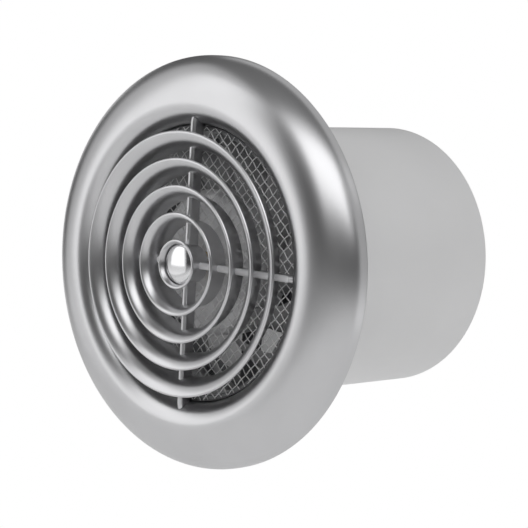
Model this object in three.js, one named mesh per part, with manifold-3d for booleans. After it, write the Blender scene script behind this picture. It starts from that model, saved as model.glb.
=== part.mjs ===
// Round exhaust fan for a wall, ceiling or window pane: a satin bezel with a concentric ring grille,
// an insect mesh, a flange that is screwed to the wall, and an air duct that goes through it.
// The motor hangs on four arms inside the duct and turns an eleven-blade impeller.
// Millimetres. The fan axis is Y: the front faces -Y, the duct runs towards +Y, and +Z is up.
// The origin lies on the axis in the wall plane, where the bezel's rim and the flange rest.

import * as THREE from 'three';
import { mergeVertices } from 'three/addons/utils/BufferGeometryUtils.js';
import Module from 'manifold-3d';

const wasm = await Module();
wasm.setup();

// Driving dimensions

const clearance = 0.3; // between pieces that seat on each other or fit in one another

const ductRadius = 59.5; // outside
const ductWall = 1.5;
const ductLength = 116.2; // from the wall plane to the rear end

const bezelRadius = 90;
const bezelEdge = 3; // straight edge band at the rim
const bezelHeight = 18.5; // from the wall plane to the crest
const bezelCrestRadius = 70;
const bezelWall = 2.4;
const throatRadius = 60;
const throatRoundDepth = 10; // of the rounded edge between the crest and the throat
const throatEnd = -3.2; // where the throat's tube stops, just in front of the flange
const meshLedgeWidth = 1.6; // inward ledge that the mesh frame rests on
const meshLedgeDepth = 1.2;
const snapHeight = 0.5; // snap beads between the throat and the flange collar

const flangeInset = 10; // from the bezel's rim to the flange's
const flangeThickness = 2.5;
const flangeCollarWall = 2;
const flangeCollarDepth = 5.5;
const socketWall = 2; // socket behind the flange, which holds the duct
const socketDepth = 14;
const wallHoleRadius = 2.25;
const wallHoleCount = 4;

const ringCount = 4;
const ringPitch = 11.65;
const hubLipRadius = 10.75; // the rings' lips follow outside it, one pitch apart
const ringWall = 1.65;
const innerRingFlare = 3.5; // how far the smallest ring opens between its rear edge and its lip
const outerRingFlare = 6.6; // and the largest
const ringFlareTurn = 78; // degrees of the quarter ellipse that the flare follows
const grilleBack = -10.9;
const lipFront = -22.2; // front of the outermost ring's lip
const lipDome = 1.2; // how much further forward the innermost ring stands
const spokeCount = 4;
const spokeWidth = 3;
const spokeFront = -16.8;
const spokeRound = 1.1; // depth of the rounded front
const spokeTabWidth = 1.8; // tabs at the spoke ends, which plug into the bezel
const spokeTabDepth = 3.2;
const spokeTabReach = 3.4;

const hubLipFront = -22.8;
const hubBackRadius = 8.1;
const hubWall = 1.9;
const hubFloor = 2.4;
const badgeRadius = 8.4;
const badgeRecess = 3.4; // floor of the hub's bowl behind the hub's lip
const badgeEdge = 0.7;
const badgeDome = 1.5;
const badgePinRadius = 2;

const meshThickness = 0.6;
const meshPitch = 14.6; // every fourth wire of the weave
const meshWire = 0.7;
const meshRim = 1.4;
const meshFrameWidth = 2.2;
const meshFrameDepth = 1.9;

const impellerFront = -4;
const impellerHubRadius = 32;
const impellerHubDepth = 18;
const impellerHubWall = 2;
const impellerHubRound = 4;
const impellerBossRadius = 6.5;
const impellerBossDepth = 16;
const impellerRibCount = 4;
const impellerRibWidth = 1.4;
const impellerRibDepth = 8;
const bladeCount = 11;
const bladeTipGap = 2; // running gap between the blade tips and the duct
const bladeThickness = 1.5;
const bladeFront = 0.6;
const bladeRootDepth = 13;
const bladeTipDepth = 10;
const bladeRootWidth = 22; // degrees round the axis
const bladeTipWidth = 19;
const bladeSweep = 27; // degrees that the tip leads the root
const bladeCamber = 1.4;
const bladeStart = 66; // degrees, leading edge of the first blade at the hub

const shaftRadius = 3;
const shaftFront = -6.6;
const nutRadius = 5.2;
const nutHeight = 2.2;

const armCount = 4;
const armFront = 22;
const armWidth = 3.2;
const armRootDepth = 11;
const armTipDepth = 8;
const bracketPlate = 2.3;
const bracketBandWall = 2.5;
const bracketBandDepth = 12;
const bracketRingWall = 2.5;
const armBossRadius = 3.8;
const armBossLength = 7;

const motorRadius = 28;
const motorLength = 38;
const motorCanWall = 1.1;
const endShieldThickness = 3;
const bearingRadius = 9.5;
const bearingWidth = 6;
const bearingHousingWall = 2;
const bearingHousingReach = 4.6;
const statorBack = 22;
const statorStack = 19;
const statorGap = 5.5; // from the end shield to the stack
const statorYoke = 4.6;
const statorBore = 13.6;
const poleCount = 4;
const poleWidth = 9;
const poleShoe = 2;
const poleShoeTurn = 68; // degrees
const coilThickness = 3.5;
const coilDepth = 3.8;
const rotorAirGap = 0.45;
const rotorRingHeight = 2.4;
const rotorRingInset = 1.4;
const ventSlotCount = 8;
const ventSlotWidth = 3;

const terminalLength = 15;
const terminalWidth = 17;
const terminalHeight = 11.7;
const terminalPitch = 8.4; // between the two poles
const platformThickness = 2.2;
const platformMargin = 1.2;
const terminalWellRadius = 2.6;
const terminalWellDepth = 5;
const leadRadius = 0.7;
const grommetRadius = 2.9;
const grommetWall = 0.9;
const grommetLength = 2.6;

const screwShankRadius = 1.5;
const screwHeadRadius = 2.8;
const screwHeadHeight = 1.5;

const roundSegments = 40; // facets round the large pieces
const motorSegments = 24;
const smallSegments = 14;

// Sizes that follow

const ductBore = ductRadius - ductWall;
const throatRoundWidth = bezelCrestRadius - throatRadius;
const throatRoundY = throatRoundDepth - bezelHeight;
const throatOutside = throatRadius + bezelWall;
const collarBore = throatOutside + snapHeight + clearance;
const collarRadius = collarBore + flangeCollarWall;
const flangeRadius = bezelRadius - flangeInset;
const wallHoleCircle = (collarRadius + flangeRadius) / 2;
const flangeFront = -flangeThickness;
const socketBore = ductRadius + clearance;
const socketRadius = socketBore + socketWall;
const meshFront = grilleBack + clearance;
const meshBack = meshFront + meshThickness;
const meshRadius = throatRadius - clearance;
const meshFrameFront = meshBack + clearance;
const meshFrameBack = meshFrameFront + meshFrameDepth;
const meshLedgeFront = meshFrameBack + clearance;
const bladeTipRadius = ductBore - bladeTipGap;
const impellerBack = impellerFront + impellerHubDepth;
const shaftBore = shaftRadius + clearance;
const shieldFront = armFront + clearance;
const canFront = shieldFront + endShieldThickness + clearance;
const canBack = canFront + motorLength - endShieldThickness;
const canBore = motorRadius - motorCanWall;
const housingBore = bearingRadius + clearance;
const housingRadius = housingBore + bearingHousingWall;
const housingFront = shieldFront - bearingHousingReach;
const housingBack = canBack + bearingHousingReach;
const frontBearingStart = housingFront + motorCanWall + clearance;
const rearBearingStart = housingBack - motorCanWall - clearance - bearingWidth;
const statorRadius = canBore - clearance;
const statorFront = shieldFront + endShieldThickness + statorGap;
const statorMiddle = statorFront + statorStack / 2;
const rotorRadius = statorBore - rotorAirGap;
const coilStart = statorBore + poleShoe + clearance;
const screwHole = screwShankRadius + clearance;
const bandBore = motorRadius + clearance;
const bandRadius = bandBore + bracketBandWall;
const bracketRingRadius = ductBore - clearance;
const bracketRingBore = bracketRingRadius - bracketRingWall;
const bracketFront = armFront - bracketPlate;
const armMiddle = armFront + armTipDepth / 2;
const motorScrewCircle = (housingRadius + bandBore) / 2 + 1;
const terminalNear = (bandRadius + bracketRingBore - terminalLength) / 2;
const terminalMiddle = terminalNear + terminalLength / 2;
const platformBack = armFront + armTipDepth;
const terminalFront = platformBack + clearance;
const terminalBack = terminalFront + terminalHeight;
const terminalHoleY = terminalBack - terminalWellDepth - 1.8;
const grommetY = canBack - motorCanWall - clearance - grommetRadius;

// Shapes

const radians = THREE.MathUtils.degToRad;

// A closed geometry as a solid that can be joined and cut.
function solid(geometry) {
  const bare = geometry.clone();
  bare.deleteAttribute('normal');
  bare.deleteAttribute('uv');
  const merged = mergeVertices(bare);
  const index = merged.index.array;
  const triangles = [];
  for (let i = 0; i < index.length; i += 3) {
    const [a, b, c] = [index[i], index[i + 1], index[i + 2]];
    if (a !== b && b !== c && c !== a) triangles.push(a, b, c);
  }
  return new wasm.Manifold(new wasm.Mesh({
    numProp: 3,
    vertProperties: new Float32Array(merged.attributes.position.array),
    triVerts: new Uint32Array(triangles),
  }));
}

// A solid as a geometry again.
function surface(body) {
  const mesh = body.getMesh();
  const geometry = new THREE.BufferGeometry();
  geometry.setAttribute('position', new THREE.BufferAttribute(new Float32Array(mesh.vertProperties), 3));
  geometry.setIndex(new THREE.BufferAttribute(new Uint32Array(mesh.triVerts), 1));
  geometry.computeVertexNormals();
  return geometry;
}

function join(...pieces) {
  return surface(pieces.map(solid).reduce((whole, piece) => whole.add(piece)));
}

function cut(piece, ...tools) {
  return surface(tools.map(solid).reduce((left, tool) => left.subtract(tool), solid(piece)));
}

function overlap(piece, other) {
  return surface(solid(piece).intersect(solid(other)));
}

// A profile of [radius, y] points, turned about the fan axis.
function turned(profile, segments = roundSegments) {
  const points = profile.map(([radius, y]) => new THREE.Vector2(radius, y));
  points.push(points[0].clone());
  if (THREE.ShapeUtils.area(points) < 0) points.reverse();
  return surface(solid(new THREE.LatheGeometry(points, segments)));
}

// Points along an elliptic arc in the [radius, y] plane, between two angles in degrees.
function arc([centreRadius, centreY], radiusWide, radiusDeep, from, to, steps) {
  return Array.from({ length: steps + 1 }, (_, step) => {
    const angle = radians(from + (to - from) * step / steps);
    return [centreRadius + radiusWide * Math.cos(angle), centreY + radiusDeep * Math.sin(angle)];
  });
}

function rod(radius, front, back, segments = smallSegments) {
  return turned([[0, front], [radius, front], [radius, back], [0, back]], segments);
}

function tube(bore, radius, front, back, segments = roundSegments) {
  return turned([[bore, front], [radius, front], [radius, back], [bore, back]], segments);
}

function block(x0, x1, y0, y1, z0, z1) {
  const geometry = new THREE.BoxGeometry(x1 - x0, y1 - y0, z1 - z0);
  return geometry.translate((x0 + x1) / 2, (y0 + y1) / 2, (z0 + z1) / 2);
}

// A rod that points away from the axis, along +X.
function spoke(radius, near, far, y, segments = 12) {
  const geometry = new THREE.CylinderGeometry(radius, radius, far - near, segments);
  return geometry.rotateZ(-Math.PI / 2).translate((near + far) / 2, y, 0);
}

// A flat outline drawn in the front view, x to the right and z up, with its thickness along the axis.
function plate(outline, front, back, curveSegments = 12) {
  const geometry = new THREE.ExtrudeGeometry(outline, {
    depth: back - front, bevelEnabled: false, curveSegments,
  });
  return geometry.rotateX(Math.PI / 2).translate(0, back, 0);
}

// A copy carried round the axis, anticlockwise in the front view.
function atAngle(geometry, degrees) {
  return geometry.clone().rotateY(-radians(degrees));
}

function aroundAxis(geometry, count, first = 0) {
  return Array.from({ length: count }, (_, i) => atAngle(geometry, first + 360 * i / count));
}

// A pan-head screw: the head is in front of y = 0 and the shank behind it.
function screw(shankLength) {
  return turned([
    [0, -screwHeadHeight],
    [screwHeadRadius * 0.7, -screwHeadHeight],
    [screwHeadRadius, 0],
    [screwShankRadius, 0],
    [screwShankRadius, shankLength],
    [0, shankLength],
  ], 8);
}

// A screw driven towards the axis from outside, with its head seated at a radius.
function radialScrew(seatRadius, y, shankLength) {
  return screw(shankLength).rotateZ(Math.PI / 2).translate(seatRadius, y, 0);
}

// Materials

function finish(colour, roughness, metalness) {
  return new THREE.MeshStandardMaterial({ color: colour, roughness, metalness, flatShading: true });
}

const satinChrome = finish(0xb4b4b6, 0.35, 0.9);
const brightChrome = finish(0xe6e6e8, 0.08, 1);
const meshGrey = finish(0xa8a8a8, 0.5, 0.4);
const greyPlastic = finish(0x8c8d90, 0.6, 0);
const ductSilver = finish(0xbcbcbc, 0.5, 0.2);
const impellerGrey = finish(0x9a9a9a, 0.5, 0.1);
const steel = finish(0x9c9ea2, 0.4, 0.8);
const lamination = finish(0x6c6e72, 0.5, 0.7);
const copper = finish(0xb0602c, 0.4, 0.8);
const blackRubber = finish(0x202022, 0.8, 0);
const terminalWhite = finish(0xe4e2da, 0.5, 0);
const brass = finish(0xb89a50, 0.35, 0.9);
const leadBrown = finish(0x6a3f22, 0.5, 0);
const leadBlue = finish(0x2a4f94, 0.5, 0);

const fan = new THREE.Group();

function add(name, geometry, material) {
  const mesh = new THREE.Mesh(geometry, material);
  mesh.name = name;
  fan.add(mesh);
}

// Front bezel: a moulded shell, open at the back. Its outer slope is a quarter ellipse, its inner edge
// a quarter circle that rolls into the throat. The throat has a ledge for the mesh frame and a snap bead.
{
  const slopeWide = bezelRadius - bezelCrestRadius;
  const slopeDeep = bezelHeight - bezelEdge;
  const snapMiddle = (throatEnd + flangeFront - flangeCollarDepth) / 2;
  const shell = turned([
    [bezelRadius, 0],
    ...arc([bezelCrestRadius, -bezelEdge], slopeWide, slopeDeep, 0, -90, 6),
    ...arc([bezelCrestRadius, throatRoundY], throatRoundWidth, throatRoundDepth, -90, -180, 4).slice(1),
    [throatRadius, meshLedgeFront],
    [throatRadius - meshLedgeWidth, meshLedgeFront],
    [throatRadius - meshLedgeWidth, meshLedgeFront + meshLedgeDepth],
    [throatRadius, meshLedgeFront + meshLedgeDepth],
    [throatRadius, throatEnd],
    [throatOutside, throatEnd],
    [throatOutside + snapHeight, snapMiddle + snapHeight],
    [throatOutside, snapMiddle],
    ...arc([bezelCrestRadius, throatRoundY], throatRoundWidth - bezelWall, throatRoundDepth - bezelWall,
      -180, -90, 2),
    ...arc([bezelCrestRadius, -bezelEdge], slopeWide - bezelWall, slopeDeep - bezelWall, -90, 0, 3).slice(1),
    [bezelRadius - bezelWall, 0],
  ]);
  const tabMiddle = (spokeFront + grilleBack) / 2;
  const tabDepth = spokeTabDepth / 2 + clearance;
  const tabWidth = spokeTabWidth / 2 + clearance;
  const slot = block(throatRadius, bezelCrestRadius, tabMiddle - tabDepth, tabMiddle + tabDepth, -tabWidth, tabWidth);
  add('front_bezel', cut(shell, ...aroundAxis(slot, spokeCount)), satinChrome);
}

// Ring grille: one moulding of flared rings, the hub cup and the spokes that carry them. Each ring is
// a horn: tubular at its rear edge and opening along an ellipse to a rounded lip at the front.
{
  const rearEdgeFlare = 0;
  const flareTo = radians(ringFlareTurn);

  function ring(number) {
    const lipRadius = hubLipRadius + ringPitch * number;
    const lipY = lipFront - lipDome * (ringCount - number) / (ringCount - 1) + ringWall / 2;
    const flare = THREE.MathUtils.lerp(innerRingFlare, outerRingFlare, (number - 1) / (ringCount - 1));
    const rearRadius = lipRadius - flare;
    const wide = flare / (1 - Math.cos(flareTo));
    const deep = (grilleBack - lipY) / Math.sin(flareTo);
    const along = (turn, side) => {
      const radius = rearRadius + wide * (1 - Math.cos(turn));
      const y = grilleBack - deep * Math.sin(turn);
      const slope = Math.hypot(wide * Math.sin(turn), deep * Math.cos(turn));
      const out = [deep * Math.cos(turn) / slope, wide * Math.sin(turn) / slope];
      return [radius - ringWall / 2 + side * out[0] * ringWall / 2, y + side * out[1] * ringWall / 2];
    };
    const steps = [rearEdgeFlare, 0.45, 0.78, 1].map((part) => part * flareTo);
    const outside = steps.map((turn) => along(turn, 1));
    const inside = steps.map((turn) => along(turn, -1));
    const lipOut = outside[outside.length - 1];
    const lipIn = inside[inside.length - 1];
    const ahead = [Math.sin(flareTo), -Math.cos(flareTo)];
    const lip = [
      (lipOut[0] + lipIn[0]) / 2 + ahead[0] * ringWall / 2,
      (lipOut[1] + lipIn[1]) / 2 + ahead[1] * ringWall / 2,
    ];
    return turned([...outside, lip, ...inside.reverse()], 20 + 4 * number);
  }

  const hubFloorY = hubLipFront + badgeRecess;
  const hub = turned([
    [0, hubFloorY],
    [badgeRadius + clearance, hubFloorY],
    [badgeRadius + clearance, hubFloorY - badgeEdge - clearance],
    [hubLipRadius - 1.5, hubLipFront + 0.5],
    [hubLipRadius - 0.75, hubLipFront],
    [hubLipRadius, hubLipFront + 0.6],
    [hubLipRadius - 1.2, hubLipFront + 3.4],
    [hubBackRadius + 0.2, hubLipFront + 7.5],
    [hubBackRadius, grilleBack],
    [hubBackRadius - hubWall, grilleBack],
    [hubBackRadius - hubWall, hubFloorY + hubFloor],
    [0, hubFloorY + hubFloor],
  ], 20);

  // The spokes stop just short of the bezel's rounded throat and plug into it with narrower tabs.
  const mouth = turned([
    [0, spokeFront - 1],
    ...arc([bezelCrestRadius, throatRoundY], throatRoundWidth + clearance, throatRoundDepth + clearance,
      -140, -180, 4),
    [throatRadius - clearance, grilleBack + 1],
    [0, grilleBack + 1],
  ]);
  const inner = hubBackRadius - hubWall / 2;
  const section = new THREE.Shape();
  section.moveTo(spokeWidth / 2, grilleBack);
  section.lineTo(-spokeWidth / 2, grilleBack);
  section.lineTo(-spokeWidth / 2, spokeFront + spokeRound);
  section.absellipse(0, spokeFront + spokeRound, spokeWidth / 2, spokeRound, Math.PI, 2 * Math.PI, false);
  const length = bezelCrestRadius - inner;
  const straight = new THREE.ExtrudeGeometry(section, { depth: length, bevelEnabled: false, curveSegments: 4 })
    .rotateY(Math.PI / 2)
    .translate(inner, 0, 0);
  const bar = overlap(straight, mouth);
  const tabMiddle = (spokeFront + grilleBack) / 2;
  const tab = block(throatRadius - spokeTabReach, throatRadius + spokeTabReach + 1,
    tabMiddle - spokeTabDepth / 2, tabMiddle + spokeTabDepth / 2, -spokeTabWidth / 2, spokeTabWidth / 2);
  const arms = aroundAxis(join(bar, tab), spokeCount);
  const rings = Array.from({ length: ringCount }, (_, i) => ring(i + 1));
  const pinHole = rod(badgePinRadius + clearance, hubFloorY - 1, hubFloorY + hubFloor + 1, 12);
  add('ring_grille', cut(join(hub, ...arms, ...rings), pinHole), satinChrome);

  // Hub badge: a bare chromed dome with a pin that presses into the hub's floor.
  const badgeBack = hubFloorY - clearance;
  add('hub_badge', turned([
    [0, badgeBack - badgeEdge - badgeDome],
    [badgeRadius * 0.36, badgeBack - badgeEdge - badgeDome * 0.88],
    [badgeRadius * 0.68, badgeBack - badgeEdge - badgeDome * 0.55],
    [badgeRadius, badgeBack - badgeEdge],
    [badgeRadius, badgeBack],
    [badgePinRadius, badgeBack],
    [badgePinRadius, hubFloorY + hubFloor],
    [0, hubFloorY + hubFloor],
  ], smallSegments), brightChrome);
}

// Insect mesh: a flat disc of wires at 45 degrees with a solid rim.
{
  const bars = [];
  const reach = Math.floor((meshRadius - meshRim - meshWire) / meshPitch);
  for (let row = -reach; row <= reach; row += 1) {
    const middle = row * meshPitch;
    const half = Math.sqrt(meshRadius ** 2 - middle ** 2) - meshRim / 2;
    bars.push(block(-half, half, meshFront, meshBack, middle - meshWire / 2, middle + meshWire / 2));
  }
  const oneWay = bars.map((bar) => atAngle(bar, 45));
  const otherWay = bars.map((bar) => atAngle(bar, -45));
  const rim = tube(meshRadius - meshRim, meshRadius, meshFront, meshBack);
  add('insect_mesh', join(rim, ...oneWay, ...otherWay), meshGrey);
}

// Mesh frame: a ring behind the mesh, which drops onto the throat's ledge.
add('mesh_frame', tube(
  throatRadius - clearance - meshFrameWidth, throatRadius - clearance, meshFrameFront, meshFrameBack), greyPlastic);

// Wall flange: a plate with four screw holes, a collar in front for the bezel's throat and a socket
// behind for the duct.
{
  const collarFront = flangeFront - flangeCollarDepth;
  const body = turned([
    [ductBore, 0],
    [ductBore, flangeFront],
    [collarBore, flangeFront],
    [collarBore, collarFront + snapHeight + 0.7],
    [throatOutside + clearance, collarFront + 0.7],
    [throatOutside + clearance + 0.2, collarFront],
    [collarRadius, collarFront],
    [collarRadius, flangeFront],
    [flangeRadius, flangeFront],
    [flangeRadius, 0],
    [socketRadius, 0],
    [socketRadius, socketDepth],
    [socketBore, socketDepth],
    [socketBore, 0],
  ]);
  const wallHole = rod(wallHoleRadius, flangeFront - 1, 1, 12).translate(wallHoleCircle, 0, 0);
  const ductHole = spoke(screwHole, ductBore, socketRadius + 1, socketDepth / 2);
  add('wall_flange', cut(body, ...aroundAxis(wallHole, wallHoleCount, 45),
    ...aroundAxis(ductHole, wallHoleCount, 45)), greyPlastic);
}

// Air duct: a plain tube that plugs into the flange's socket.
{
  const body = tube(ductBore, ductRadius, clearance, ductLength);
  const socketHole = spoke(screwHole, ductBore - 2, ductRadius + 2, socketDepth / 2);
  const bracketHole = spoke(screwHole, ductBore - 2, ductRadius + 2, armMiddle);
  add('duct_spigot', cut(body, ...aroundAxis(socketHole, wallHoleCount, 45),
    ...aroundAxis(bracketHole, armCount)), ductSilver);
  const seat = socketRadius + clearance;
  aroundAxis(radialScrew(seat, socketDepth / 2, seat - ductBore - clearance), wallHoleCount, 45)
    .forEach((geometry, i) => add(`spigot_screw_${i + 1}`, geometry, steel));
}

// Motor bracket: a ring inside the duct, four arms, and a band with a front plate that holds the motor.
// The left arm carries a platform for the terminal block.
{
  const holder = turned([
    [housingRadius + clearance, bracketFront],
    [bandRadius, bracketFront],
    [bandRadius, armFront + bracketBandDepth],
    [bandBore, armFront + bracketBandDepth],
    [bandBore, armFront],
    [housingRadius + clearance, armFront],
  ], motorSegments);
  const ring = tube(bracketRingBore, bracketRingRadius, armFront, armFront + bracketBandDepth);
  const armInner = bandRadius - bracketBandWall / 2;
  const armOuter = bracketRingRadius - bracketRingWall / 2;
  const side = new THREE.Shape([
    new THREE.Vector2(armInner, armFront),
    new THREE.Vector2(armOuter, armFront),
    new THREE.Vector2(armOuter, armFront + armTipDepth),
    new THREE.Vector2(armInner, armFront + armRootDepth),
  ]);
  const web = new THREE.ExtrudeGeometry(side, { depth: armWidth, bevelEnabled: false })
    .translate(0, 0, -armWidth / 2);
  const boss = spoke(armBossRadius, armOuter - armBossLength, armOuter, armMiddle);
  const arms = aroundAxis(join(web, boss), armCount);
  const halfPlatform = terminalWidth / 2 + platformMargin;
  const platform = block(-terminalNear - terminalLength - platformMargin, -terminalNear + platformMargin,
    platformBack - platformThickness, platformBack, -halfPlatform, halfPlatform);
  const screwDepth = 6;
  const armHole = spoke(screwHole, bracketRingRadius - screwDepth - clearance, bracketRingRadius + 1, armMiddle);
  const motorHole = rod(screwHole, bracketFront - 1, armFront + 1, 12).translate(motorScrewCircle, 0, 0);
  const fixingHole = rod(screwHole, armFront + 1, platformBack + armRootDepth, 12)
    .translate(-terminalMiddle, 0, 0);
  const armBehindPlatform = block(-terminalNear - terminalLength - platformMargin, -terminalNear + platformMargin,
    platformBack, platformBack + armRootDepth, -armWidth, armWidth);
  add('motor_bracket', cut(join(holder, ring, ...arms, platform), armBehindPlatform,
    ...aroundAxis(armHole, armCount), ...aroundAxis(motorHole, 4, 45), fixingHole), greyPlastic);
  const seat = ductRadius + clearance;
  aroundAxis(radialScrew(seat, armMiddle, seat - bracketRingRadius + screwDepth), armCount)
    .forEach((geometry, i) => add(`bracket_screw_${i + 1}`, geometry, steel));
  const motorScrew = screw(bracketPlate + endShieldThickness).translate(
    motorScrewCircle, bracketFront - clearance, 0);
  aroundAxis(motorScrew, 4, 45)
    .forEach((geometry, i) => add(`motor_screw_${i + 1}`, geometry, steel));
}

// Motor: a drawn can closed by a front end shield, with a ball bearing in each end.
{
  const shieldBack = shieldFront + endShieldThickness;
  const shield = turned([
    [shaftBore + 1, housingFront],
    [housingRadius, housingFront],
    [housingRadius, shieldFront],
    [motorRadius, shieldFront],
    [motorRadius, shieldBack],
    [canBore - clearance, shieldBack],
    [canBore - clearance, shieldBack + 2.5],
    [canBore - clearance - 2, shieldBack + 2.5],
    [canBore - clearance - 2, shieldBack],
    [housingBore, shieldBack],
    [housingBore, housingFront + motorCanWall],
    [shaftBore + 1, housingFront + motorCanWall],
  ], motorSegments);
  const screwBore = rod(screwHole, shieldFront - 1, shieldBack + 1, 12).translate(motorScrewCircle, 0, 0);
  add('motor_end_shield', cut(shield, ...aroundAxis(screwBore, 4, 45)), steel);

  const can = turned([
    [motorRadius, canFront],
    [motorRadius, canBack - 1.5],
    [motorRadius - 1.5, canBack],
    [housingRadius, canBack],
    [housingRadius, housingBack],
    [0, housingBack],
    [0, housingBack - motorCanWall],
    [housingBore, housingBack - motorCanWall],
    [housingBore, canBack - motorCanWall],
    [canBore, canBack - motorCanWall],
    [canBore, canFront],
  ], motorSegments);
  const slotLength = canBore - housingRadius - 5;
  const slotInner = housingRadius + 2;
  const vent = block(slotInner, slotInner + slotLength, canBack - motorCanWall - 1, canBack + 1,
    -ventSlotWidth / 2, ventSlotWidth / 2);
  const leadHole = atAngle(spoke(grommetRadius + clearance, canBore - 2, motorRadius + 2, grommetY), 180);
  add('motor_can', cut(can, ...aroundAxis(vent, ventSlotCount, 22.5), leadHole), steel);

  // The grommet's collars hold it in the can's wall.
  const grommet = turned([
    [grommetRadius - grommetWall, -grommetLength],
    [grommetRadius, -grommetLength],
    [grommetRadius, grommetLength],
    [grommetRadius - grommetWall, grommetLength],
  ], 12).rotateZ(Math.PI / 2).translate(-motorRadius + motorCanWall / 2, grommetY, 0);
  add('lead_grommet', grommet, blackRubber);

  function bearing(start) {
    return turned([
      [shaftBore, start],
      [shaftBore + 1.6, start],
      [bearingRadius - 1.4, start + 0.5],
      [bearingRadius, start + 0.5],
      [bearingRadius, start + bearingWidth],
      [shaftBore, start + bearingWidth],
    ], smallSegments);
  }
  add('bearing_front', bearing(frontBearingStart), steel);
  add('bearing_rear', bearing(rearBearingStart), steel);
}

// Stator: a laminated ring with four poles, and a winding on each pole.
{
  const statorEnd = statorFront + statorStack;
  const yoke = tube(statorRadius - statorYoke, statorRadius, statorFront, statorEnd, motorSegments);
  const halfTurn = radians(poleShoeTurn / 2);
  const shoeOutline = new THREE.Shape();
  shoeOutline.absarc(0, 0, statorBore + poleShoe, -halfTurn, halfTurn, false);
  shoeOutline.absarc(0, 0, statorBore, halfTurn, -halfTurn, true);
  const shoe = plate(shoeOutline, statorFront, statorEnd, 6);
  const neck = block(statorBore + poleShoe / 2, statorRadius - statorYoke / 2, statorFront, statorEnd,
    -poleWidth / 2, poleWidth / 2);
  const poles = aroundAxis(join(shoe, neck), poleCount);
  add('stator_core', join(yoke, ...poles), lamination);

  const innerWide = poleWidth / 2 + clearance;
  const innerHigh = statorStack / 2 + clearance;
  const outerWide = innerWide + coilThickness;
  const outerHigh = innerHigh + coilThickness;
  const corner = coilThickness * 0.8;
  const loop = new THREE.Shape();
  loop.moveTo(outerWide, -outerHigh + corner);
  loop.absarc(outerWide - corner, outerHigh - corner, corner, 0, Math.PI / 2, false);
  loop.absarc(-outerWide + corner, outerHigh - corner, corner, Math.PI / 2, Math.PI, false);
  loop.absarc(-outerWide + corner, -outerHigh + corner, corner, Math.PI, Math.PI * 1.5, false);
  loop.absarc(outerWide - corner, -outerHigh + corner, corner, Math.PI * 1.5, Math.PI * 2, false);
  loop.holes.push(new THREE.Path([
    new THREE.Vector2(-innerWide, -innerHigh),
    new THREE.Vector2(-innerWide, innerHigh),
    new THREE.Vector2(innerWide, innerHigh),
    new THREE.Vector2(innerWide, -innerHigh),
  ]));
  const coil = new THREE.ExtrudeGeometry(loop, { depth: coilDepth, bevelEnabled: false, curveSegments: 2 })
    .rotateY(Math.PI / 2)
    .translate(coilStart, statorMiddle, 0);
  aroundAxis(coil, poleCount)
    .forEach((geometry, i) => add(`stator_coil_${i + 1}`, surface(solid(geometry)), copper));
}

// Terminal block on its platform: two poles with a screw each, the motor's leads on the inner side and
// two free entries for the supply on the outer side.
{
  const near = -terminalNear;
  const far = -terminalNear - terminalLength;
  const poles = [terminalPitch / 2, -terminalPitch / 2];
  const body = block(far, near, terminalFront, terminalBack, -terminalWidth / 2, terminalWidth / 2);
  const wells = poles.map((z) => rod(terminalWellRadius, terminalBack - terminalWellDepth, terminalBack + 1, 12)
    .translate(-terminalMiddle, 0, z));
  const leadHoles = poles.map((z) => spoke(leadRadius + clearance, near - 3.6, near + 1, terminalHoleY, 8)
    .translate(0, 0, z));
  const supplyHoles = poles.map((z) => spoke(1.6, far - 1, far + 4, terminalHoleY, 12).translate(0, 0, z));
  const fixing = rod(screwHole, terminalFront - 1, terminalBack + 1, 12).translate(-terminalMiddle, 0, 0);
  add('terminal_block', cut(body, ...wells, ...leadHoles, ...supplyHoles, fixing), terminalWhite);

  poles.forEach((z, i) => {
    const start = terminalBack - terminalWellDepth + clearance;
    add(`terminal_screw_${i + 1}`, rod(terminalWellRadius - clearance, start, terminalBack - 1, 12)
      .translate(-terminalMiddle, 0, z), brass);
  });
  const fixingScrew = screw(terminalHeight + platformThickness).rotateX(Math.PI)
    .translate(-terminalMiddle, terminalBack + clearance, 0);
  add('terminal_fixing_screw', fixingScrew, steel);

  // The leads leave the can through the grommet and bend forward into the block.
  const names = ['motor_lead_brown', 'motor_lead_blue'];
  const colours = [leadBrown, leadBlue];
  poles.forEach((z, i) => {
    const beside = Math.sign(z) * (leadRadius + clearance);
    const route = new THREE.CatmullRomCurve3([
      new THREE.Vector3(-canBore + 1.5, grommetY, beside),
      new THREE.Vector3(-motorRadius - 2.5, grommetY, beside),
      new THREE.Vector3(-motorRadius - 5.4, grommetY - 2.4, beside + (z - beside) * 0.35),
      new THREE.Vector3(-motorRadius - 5.6, (grommetY + terminalHoleY) / 2, (z + beside) / 2),
      new THREE.Vector3(near + 4.2, terminalHoleY + 3, z - (z - beside) * 0.15),
      new THREE.Vector3(near + 1.2, terminalHoleY, z),
      new THREE.Vector3(near - 3.2, terminalHoleY, z),
    ]);
    const section = new THREE.Shape().absarc(0, 0, leadRadius, 0, Math.PI * 2, false);
    const lead = new THREE.ExtrudeGeometry(section, { steps: 11, curveSegments: 4, extrudePath: route });
    add(names[i], surface(solid(lead)), colours[i]);
  });
}

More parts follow.
